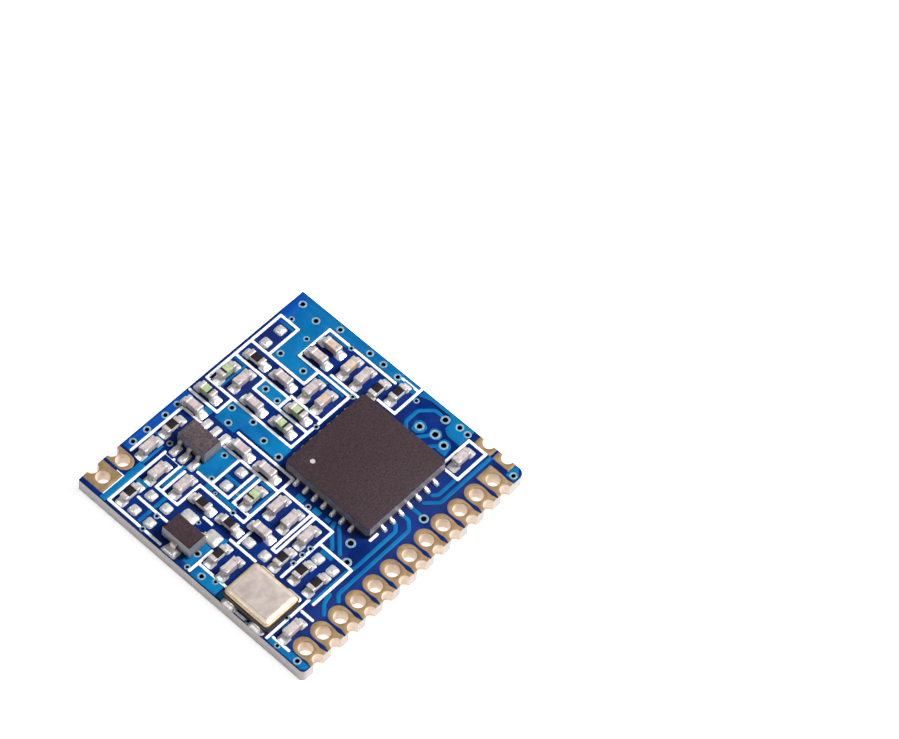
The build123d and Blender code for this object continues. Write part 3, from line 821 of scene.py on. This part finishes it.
def plain_pad_outline(width, depth, rounded=False, radius=0.05):
    """Outline of a straight pad with its edge along y = 0."""
    a = width / 2
    if rounded:
        right = [(a, 0)] + arc(0, depth - a, a, 0, 90, 12)
    else:
        right = softened_line([(a, 0), (a, depth), (0, depth)], radius)
    return pad_around(right)


def turned(loop, x, y, turn):
    """An outline turned and moved."""
    c, s = math.cos(math.radians(turn)), math.sin(math.radians(turn))
    return [(x + c * a - s * b, y + s * a + c * b) for a, b in loop]


edge_places = [(x, 0.0, 0) for x in pad_xs]
antenna_places = [(x, board_width, 180) for x, _, _ in antenna_pads]
side_places = [(board_length, y, 90) for y in side_pad_ys]
edge_plans = [pad_outline(x == pad_xs[-1]) for x in pad_xs]
edge_plans_below = [plain_pad_outline(pad_width, pad_depth)] * len(edge_places)
antenna_plans = [plain_pad_outline(width, antenna_depth, rounded) for _, width, rounded in antenna_pads]
antenna_plans_below = [plain_pad_outline(width, antenna_depth) for _, width, _ in antenna_pads]
side_plans = [plain_pad_outline(side_pad_width, side_pad_depth, radius=side_pad_corner)] * len(side_places)
side_plans_below = [plain_pad_outline(side_pad_width, side_pad_depth)] * len(side_places)


def around_board(edge, side, antenna):
    """The board's outline, with the points that cut into three of its sides."""
    first = arc(first_corner_radius, first_corner_radius, first_corner_radius, 180, 270, corner_steps)
    second = arc(board_length - corner_radius, corner_radius, corner_radius, -90, 0, corner_steps)
    return first + edge + second + side + [(board_length, board_width)] + antenna + [(0, board_width)]


def board_outline(cut_radius):
    """The board's outline with its notches cut to a radius."""
    edge, side, antenna = [], [], []
    for x, y, _ in edge_places:
        edge += arc(x, y, cut_radius, 180, 0, notch_steps)
    for x, y, _ in side_places:
        side += arc(x, y, cut_radius, 270, 90, notch_steps)
    for x, y, _ in reversed(antenna_places):
        antenna += arc(x, y, cut_radius, 0, -180, notch_steps)
    return around_board(edge, side, antenna)


def bays(places, plans):
    """Points round the bare pads at some places, without their notches, as they cut into the mask."""
    out = []
    for (x, y, turn), plan in zip(places, plans):
        out += reversed(turned(plan[notch_steps + 1 :], x, y, turn))
    return out


def mask_outline(edge, antenna):
    """Outline of a coat of solder mask, open at pads with these plans."""
    side = bays(side_places, side_plans_below)
    return around_board(bays(edge_places, edge), side, bays(antenna_places[::-1], antenna[::-1]))


via_holes = [ring(x, y, radius * via_share, via_steps, hole=True) for x, y, radius in vias]
pad_holes = [(x, hole_inset) for x in pad_xs]
pad_holes += [(x, board_width - antenna_hole_inset) for x, _, _ in antenna_pads]

# Board
core = Piece()
drilled = [ring(x, y, hole_radius + plating, hole=True) for x, y in pad_holes]
core.add(stack([board_outline(notch_radius + plating)] + drilled + via_holes, [(0, mask), (0, laminate_top)]))
core.make("board_core", [laminate_edge], ["laminate"])
upper_mask = Piece()
outline = mask_outline(edge_plans, antenna_plans)
upper_mask.add(plate([outline] + via_holes, laminate_top, board_top, 0.01, 2))
upper_mask.make("upper_mask", [mask_blue], ["top_mask"])
lower_mask = Piece()
outline = mask_outline(edge_plans_below, antenna_plans_below)
lower_mask.add(plate([outline] + via_holes, 0.0, mask, 0.004, 1, under=0.008))
lower_mask.make("lower_mask", [mask_blue], ["bottom_mask"])


def plated(name, node, places, plans, plans_below, inset):
    """Plated pads: an upper and a lower plate, the lining of the notch, and that of the hole if any."""
    piece = Piece()
    hole = [ring(0, inset, hole_radius, hole_steps, hole=True)] if inset else []
    half = arc(0, 0, notch_radius, 180, 0, lining_steps)
    outer = arc(0, 0, notch_radius + plating, 0, 180, lining_steps)
    for (x, y, turn), plan, plan_below in zip(places, plans, plans_below):
        piece.add(plate([plan] + hole, laminate_top, pad_top, pad_edge, 3), x, y, 0, turn)
        piece.add(plate([plan_below] + hole, 0.0, mask, 0.004, 1, under=0.01), x, y, 0, turn)
        piece.add(plate([half + outer], mask, laminate_top, 0.002, 1), x, y, 0, turn, 2)
        if inset:
            # The hole lining takes the paler finish, painted light in the hole
            lining = tube(0, inset, hole_radius, hole_radius + plating, mask, laminate_top, hole_steps)
            piece.add(lining, x, y, 0, turn, 1)
    piece.make(name, [pad_gold, lining_gold_lit, notch_gold], [node])


plated("plated_edge_pads", "edge_pads", edge_places, edge_plans, edge_plans_below, hole_inset)
plated(
    "plated_antenna_pads",
    "antenna_pads",
    antenna_places,
    antenna_plans,
    antenna_plans_below,
    antenna_hole_inset,
)
plated("plated_side_pads", "side_pads", side_places, side_plans, side_plans_below, 0)


# Copper under the mask, and vias
def enclosed(x, y, loop):
    """Whether a place lies inside an outline."""
    count = 0
    for (ax, ay), (bx, by) in zip(loop, loop[1:] + loop[:1]):
        if (ay > y) != (by > y) and x < ax + (bx - ax) * (y - ay) / (by - ay):
            count += 1
    return count % 2 == 1


copper_strips = [
    (0.42, 12.03, 1.30, 12.25),
    (1.56, 12.03, 2.38, 12.25),
    (2.04, 13.25, 2.30, 13.95),
    (2.75, 12.66, 4.45, 12.84),
    (3.02, 14.40, 4.50, 14.56),
    (4.74, 14.62, 4.90, 15.34),
    (7.50, 14.10, 7.80, 14.62),
    (4.28, 10.75, 4.50, 11.25),
    (4.28, 9.10, 4.50, 10.35),
    (4.74, 9.59, 6.58, 9.73),
    (5.42, 9.97, 5.66, 10.92),
    (4.74, 8.40, 6.58, 8.52),
    (6.42, 8.58, 6.58, 9.35),
    (0.35, 8.36, 1.90, 8.95),
    (2.35, 8.05, 2.82, 8.30),
    (9.24, 14.88, 11.08, 15.00),
    (10.96, 15.02, 11.08, 15.72),
    (13.22, 11.05, 13.35, 11.80),
    (13.22, 9.95, 13.35, 10.95),
    (14.32, 14.72, 14.50, 15.70),
    (3.12, 2.50, 5.86, 2.60),
    (7.08, 6.95, 7.42, 7.48),
    (7.08, 5.80, 7.42, 6.30),
    (7.16, 5.15, 7.42, 5.48),
    (5.62, 3.52, 5.86, 4.30),
    (13.57, 9.80, 13.68, 11.40),
    (15.60, 11.95, 15.72, 13.25),
    (0.10, 5.90, 0.60, 6.22),
    (1.12, 2.34, 1.60, 2.60),
]
copper = Piece()
copper_fields += [[(a, b), (c, b), (c, d), (a, d)] for a, b, c, d in copper_strips]
for corners in copper_fields:
    outline = softened(corners, copper_corner)
    bores = [bore for bore in via_holes if all(enclosed(x, y, outline) for x, y in bore)]
    copper.add(plate([outline] + bores, board_top - copper_bed, copper_top, copper_edge, 2))
tracks = [
    [(6.10, 2.36), (9.25, 2.36), (9.55, 2.66)],
    [(4.22, 1.60), (4.53, 1.91), (9.78, 1.91), (10.22, 2.36), (10.22, 2.66)],
    [(10.87, 2.18), (10.87, 2.62)],
    [(11.52, 2.50), (12.14, 1.90), (15.90, 1.90)],
    [(12.17, 2.50), (12.40, 2.30), (13.60, 2.30)],
    [(6.25, 3.45), (7.45, 4.65)],
    [(6.20, 3.95), (7.10, 4.85), (7.42, 4.95)],
    [(3.15, 1.60), (3.62, 2.04), (4.20, 2.20)],
    [(14.20, 6.28), (14.50, 6.58), (15.42, 6.58), (16.08, 5.95), (16.08, 5.52)],
    [(14.20, 5.50), (14.72, 5.13)],
    [(14.20, 4.68), (14.55, 4.37)],
]
for run in tracks:
    outline = strip(softened_line(run, track_bend), track_width)
    copper.add(plate([outline], board_top - copper_bed, track_top, copper_edge, 2))
copper.make("masked_copper", [copper_blue], ["top_copper"])

via_piece = Piece()
for x, y, radius in vias:
    bore = radius * via_share
    inner = bore - via_wall
    # The bore lining takes the near-black finish, painted shade in the hole
    via_piece.add(tube(x, y, inner, bore, via_foot, board_top, via_steps), finish=1)
    loops = [ring(x, y, radius, 24), ring(x, y, inner, 24, hole=True)]
    via_piece.add(plate(loops, board_top - copper_bed, ring_top, ring_edge, 3))
    via_piece.add(plate(loops, 0.0, mask + 0.001, 0.004, 3))
via_piece.make("vias", [via_ring, via_bore_shade])

# Places of the chip parts, as the frame has them, and of the bent leads
chips = {}
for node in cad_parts:
    kind = node.split("_")[0]
    if kind in chip_blocks:
        low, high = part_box(node)
        x = (low[0] + high[0]) / 2 / MM + CENTRE[0]
        y = (low[1] + high[1]) / 2 / MM + CENTRE[1]
        turn = 0 if high[0] - low[0] > high[1] - low[1] else 90
        chips[node] = (kind, x, y, turn)


def lead_rows(place, left, right):
    """Where leads stand: x and y of the wall, and the turn."""
    reach = package_width / 2
    rows = [(place[0] - reach, place[1] + row, 180) for row in left]
    return rows + [(place[0] + reach, place[1] + row, 0) for row in right]


switch_rows = lead_rows(switch, (-lead_pitch, 0, lead_pitch), (-lead_pitch, 0, lead_pitch))
regulator_rows = lead_rows(regulator, (0,), (-lead_pitch, lead_pitch))

# White print
# From where to where it keeps off lands, from the middle of their part or, for bent leads, from the wall
chip_span = (0.32, chip_reach + land_out + 0.03)
lead_span = (2.65, 3.37)
crystal_span = (0.5, crystal_width / 2 + 0.29)
foot_span = (0.03, 0.95)
# Half the width that it leaves free there and at vias, and the margins at pads and over the board's edge
land_clear = 0.33
lead_clear = 0.17
crystal_clear = 0.51
foot_clear = 0.26
via_clear = 0.15
pad_clear = 0.02
over_edge = 0.1
cuts = []


def keep_clear(x, y, side, near, far, half, along_y=False):
    """Keeps the print off an area that runs from near to far on one side of a place."""
    a, b = sorted((side * near, side * far))
    cuts.append((x - half, y + a, x + half, y + b) if along_y else (x + a, y - half, x + b, y + half))


for side in (-1, 1):
    for _, x, y, turn in chips.values():
        keep_clear(x, y, side, *chip_span, land_clear, turn == 90)
    for row in transceiver_rows:
        keep_clear(transceiver[0], transceiver[1] + row, side, *lead_span, lead_clear)
        keep_clear(transceiver[0] + row, transceiver[1], side, *lead_span, lead_clear, True)
    for along in (-crystal_land, crystal_land):
        keep_clear(crystal[0], crystal[1] + along, side, *crystal_span, crystal_clear)
for x, y, turn in switch_rows + regulator_rows:
    keep_clear(x, y, -1 if turn else 1, *foot_span, foot_clear)
for places, half in ((bare_lands, land_clear), (print_vias, via_clear)):
    cuts += [(x - half, y - half, x + half, y + half) for x, y in places]
for x in pad_xs:
    half = pad_width / 2 + pad_clear
    cuts.append((x - half, -over_edge, x + half, pad_depth + pad_clear))
for x, width, _ in antenna_pads:
    half = width / 2 + pad_clear
    cuts.append((x - half, board_width - antenna_depth - pad_clear, x + half, board_width + over_edge))
half = print_width / 2
strokes = [
    (min(a, c) - half, min(b, d) - half, max(a, c) + half, max(b, d) + half) for a, b, c, d in print_strokes
]
loops = [softened(loop, print_corner) for loop in merged(strokes, cuts)]
loops.append(softened(antenna_mark, 0.02))
legend = Piece()
legend.add(plate(loops, board_top - print_bed, print_top, print_edge, 2))
legend.make("legend_lines", [print_white], ["white_print"])


# Solder
def fillet_height(climb, out, half, low):
    """Height of solder that climbs a wall at x = 0, and runs out thin at its edge."""

    def height(x, y, share):
        reach = min(1.0, max(0.0, x / out))
        body = low + climb * (1 - reach) ** 2.1 * (1 - 0.8 * abs(y / half) ** 3)
        return max(0.0, body * (1 - share**6))

    return height


def pool(outline, centre, height, power=4):
    """Solder that fills its land to a height and falls off at the edge."""
    return mound(outline, centre, lambda x, y, share: height * (1 - share**power))


land_middle = (land_out - land_under) / 2
chip_fillet = mound(
    rectangle(land_out + land_under, land_width, 0.14, land_middle, 0, 5),
    (land_middle - 0.05, 0),
    fillet_height(solder_climb, land_out, land_width / 2, 0.045),
)
bare_dome = pool(rectangle(land_width, land_width, 0.16, steps=5), (0, 0), bare_height, 3)
crystal_fillet = mound(
    rectangle(0.62, 1.0, 0.18, -0.04, 0, 5), (-0.1, 0), fillet_height(0.13, 0.27, 0.5, 0.035)
)
solder = Piece()
for _, x, y, turn in chips.values():
    for side in (0, 180):
        a = math.radians(turn + side)
        end_x = x + chip_reach * math.cos(a)
        end_y = y + chip_reach * math.sin(a)
        solder.add(chip_fillet, end_x, end_y, board_top, turn + side)
for x, y in bare_lands:
    solder.add(bare_dome, x, y, board_top)
for side in (0, 180):
    wall_x = crystal[0] + crystal_width / 2 * math.cos(math.radians(side))
    for along in (-crystal_land, crystal_land):
        solder.add(crystal_fillet, wall_x, crystal[1] + along, board_top, side)
solder.make("solder_fillets", [solder_bright], ["solder_joints"], angle=60)


# Chip parts
def chip_block(length, width, low, high, radius, x):
    """A block with every edge rounded."""
    return plate([rectangle(length, width, radius, x, 0, 3)], low, high, radius, 3, under=radius * 0.6)


chip_materials = {
    "capacitor": [tin, ceramic_pink],
    "resistor": [tin, ceramic_white, film_black],
    "inductor": [tin, ceramic_green, film_black],
}
for node, (kind, x, y, turn) in chips.items():
    piece = Piece()
    for side in (-1, 1):
        middle = side * (chip_reach - end_length / 2)
        end = chip_block(end_length, chip_width, 0.0, end_heights[kind], end_edge, middle)
        piece.add(end, x, y, land_top, turn)
    for finish, block in enumerate(chip_blocks[kind], 1):
        piece.add(chip_block(*block), x, y, land_top, turn, finish)
    materials = [tin, ceramic_tan] if node in tan_chips else chip_materials[kind]
    piece.make(f"{node}_dressed", materials, [node])


# Transceiver
def cornered(width, length, cut):
    """A rectangular outline with its corners cut."""
    a, b = width / 2, length / 2
    c, d = a - cut, b - cut
    return [(-c, -b), (c, -b), (a, -d), (a, d), (c, b), (-c, b), (-a, d), (-a, -d)]


body_plan = cornered(transceiver_size, transceiver_size, transceiver_cut)
dimple = ring(*dot_place, dot_radius, hole=True)
dot = mound(ring(*dot_place, 0.16, 24), dot_place, lambda x, y, share: dot_level, 2)
lid_levels = [(transceiver_lean + a, z) for a, z in [(0, lid_low), *rounded_over(0.022, transceiver_top, 3)]]
body = Piece()
body.add(stack([body_plan], [(0.006, 0.0), (0, 0.01), (0, lead_foot)]), *transceiver, land_top)
# The drafted walls above the foot take the lighter wall finish, painted light; the foot keeps the moulding's
# own dark colour
drafted = [(0.004, lead_foot), (transceiver_lean, wall_top)]
body.add(stack([body_plan], drafted), *transceiver, land_top, wall=2)
body.add(stack([body_plan, dimple], lid_levels), *transceiver, land_top)
body.add(dot, *transceiver, land_top, 0, 1)
finishes = [mould, dot_pale, mould_wall_lit]
body.make("transceiver_moulding", finishes, ["transceiver_body"], angle=25)


def drop_height(x, y, share):
    """Solder that swells against the lead and runs out on its land."""
    reach = min(1.0, max(0.0, x / drop_reach))
    return max(0.0, (0.12 + 0.09 * (1 - reach)) * (1 - share**5))


teardrop = softened(
    [(-0.12, -0.13), (0.16, -0.15), (0.338, -0.12), (0.338, 0.12), (0.16, 0.15), (-0.12, 0.13)], 0.12, 5
)
drop = mound(teardrop, (0.08, 0), drop_height)
flat_verts, flat_faces = plate([rectangle(0.24, 0.17, 0.03)], -0.1, 0.012, 0.01, 2)
lead_end = ([(h, b, a + lead_middle) for a, b, h in flat_verts], flat_faces)
leads = Piece()
for turn in (0, 90, 180, 270):
    c, s = math.cos(math.radians(turn)), math.sin(math.radians(turn))
    for row in transceiver_rows:
        x = transceiver[0] + c * transceiver_size / 2 - s * row
        y = transceiver[1] + s * transceiver_size / 2 + c * row
        leads.add(drop, x, y, board_top, turn)
        leads.add(lead_end, x, y, land_top, turn, 1)
leads.make("lead_solder", [solder_bright, tin], ["transceiver_leads"], angle=60)

# Crystal
dish_plan = softened(cornered(crystal_width, crystal_length, crystal_cut), 0.05, 3)
dish = Piece()
dish.add(plate([dish_plan], 0.0, dish_top, 0.02, 2, under=0.02), *crystal, land_top)
dish.make("crystal_dish", [ceramic_dark], ["crystal_base"])
seal = Piece()
seal.add(plate([rectangle(*seal_size, 0.25, steps=8)], dish_top, seal_top, 0.03, 3), *crystal, land_top)
seal.make("crystal_seal", [seal_gold], ["crystal_rim"])
cover = Piece()
# The shoulder takes the paler finish, a painted highlight round the cover's edge
cover.add(stack([rectangle(*cover_size, 0.24, steps=8)], shoulder), *crystal, land_top, 0, 1)
cover.add(plate([rectangle(*plateau_size, 0.12, steps=6)], *plateau_heights, 0.022, 3), *crystal, land_top)
cover.make("crystal_cover", [can_metal, can_shoulder_highlight], ["crystal_lid"], angle=60)


# Moulded packages
def moulded(place, name, node, top):
    """A small moulded package, straight up to its leads and drafted above them."""
    plan = rectangle(package_width, package_length, 0.04, steps=3)
    lower = rounded_under(0.03, 0.08, 2)
    parting = [(0, 0.50), (0.008, 0.515)]
    upper = [(package_lean + a, z) for a, z in rounded_over(0.035, package_top, 3)]
    piece = Piece()
    # Upright faces take the lighter wall finish, painted light on the package's sides
    piece.add(stack([plan], lower + parting + upper), *place, board_top, wall=1)
    piece.make(name, [top, mould_wall_lit], [node], angle=30)


def gull_wing(width):
    """A lead that leaves the wall at x = 0, bends down and rests flat on its land."""
    line = softened_line([(-0.08, 0.45), (0.13, 0.45), (0.18, 0.09), (0.46, 0.09)], 0.10, 6)
    profile = moved_line(line, -bent_half) + moved_line(line, bent_half)[::-1]
    return sideways(plate([profile], -width / 2, width / 2, 0.012, 2, under=0.012))


def bent_leads(name, node, rows, width):
    """The bent leads of a package."""
    piece = Piece()
    for x, y, turn in rows:
        piece.add(gull_wing(width), x, y, board_top, turn)
    piece.make(name, [tin], [node], angle=50)


moulded(switch, "switch_moulding", "switch_body", mould_grey)
moulded(regulator, "regulator_moulding", "regulator_body", mould)
bent_leads("switch_bent_leads", "switch_leads", switch_rows, 0.24)
bent_leads("regulator_bent_leads", "regulator_leads", regulator_rows, 0.36)
feet = Piece()
for x, y, turn in switch_rows:
    near, far = 0.04, 0.93 if turn == 0 else 0.80
    middle = (near + far) / 2
    land = rectangle(far - near, 0.46, 0.14, middle, 0, 5)
    feet.add(pool(land, (middle, 0), 0.12), x, y, board_top, turn)
single_land = softened([(0.06, 9.24), (0.66, 9.22), (0.76, 9.62), (0.72, 10.10), (0.06, 10.22)], 0.12)
feet.add(pool(single_land, (0.40, 9.72), 0.14), 0, 0, board_top)
for y in (8.72, 10.46):
    feet.add(pool(rectangle(0.84, 0.94, 0.2, 2.37, y, 5), (2.37, y), 0.14), 0, 0, board_top)
feet.make("foot_solder", [solder_bright], ["package_lands"], angle=60)

# Heat pad under the transceiver, hidden by its body
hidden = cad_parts["transceiver_pad"]
hidden.data.materials.clear()
hidden.data.materials.append(solder_bright)

# Floor, light and camera
floor_half = 3
floor_level = -1e-5
floor_white = surface("floor_white", (0.90, 0.90, 0.90), (0.94, 0.94, 0.94), 40.0, (0.6, 0.8), 0.02, 2.0)
mesh = bpy.data.meshes.new("floor")
corners = [(a * floor_half, b * floor_half, floor_level) for a, b in ((-1, -1), (1, -1), (1, 1), (-1, 1))]
mesh.from_pydata(corners, [], [(0, 1, 2, 3)])
glow = floor_white.node_tree.nodes["Principled BSDF"].inputs
glow["Emission Color"].default_value = (1.0, 1.0, 1.0, 1)
glow["Emission Strength"].default_value = 0.64
mesh.materials.append(floor_white)
floor = bpy.data.objects.new("floor", mesh)
bpy.context.scene.collection.objects.link(floor)

world = bpy.data.worlds.new("studio")
world.use_nodes = True
world.node_tree.nodes["Background"].inputs["Color"].default_value = (1.0, 1.0, 1.0, 1)
world.node_tree.nodes["Background"].inputs["Strength"].default_value = 0.13
bpy.context.scene.world = world


def lamp(name, place, size, power):
    """A soft square light that faces the board."""
    data = bpy.data.lights.new(name, "AREA")
    data.shape = "SQUARE"
    data.size = size
    data.energy = power
    light = bpy.data.objects.new(name, data)
    light.location = place
    light.rotation_euler = (-Vector(place)).to_track_quat("-Z", "Y").to_euler()
    bpy.context.scene.collection.objects.link(light)


lamp("key_light", (0.21, -0.17, 0.30), 0.11, 2.4)
lamp("top_light", (0.08, -0.06, 0.42), 0.16, 0.3)
lamp("left_light", (-0.20, 0.12, 0.30), 0.09, 0.13)

camera_data = bpy.data.cameras.new("camera")
camera_data.sensor_fit = "HORIZONTAL"
camera_data.sensor_width = 36
camera_data.lens = 146.363
camera_data.clip_start = 0.01
camera = bpy.data.objects.new("camera", camera_data)
camera.location = (-0.0735555, -0.0656765, 0.1624226)
camera.rotation_euler = (math.radians(33.09996), math.radians(-3.34752), math.radians(-47.15752))
bpy.context.scene.collection.objects.link(camera)
bpy.context.scene.camera = camera
bpy.context.scene.view_settings.view_transform = "Standard"
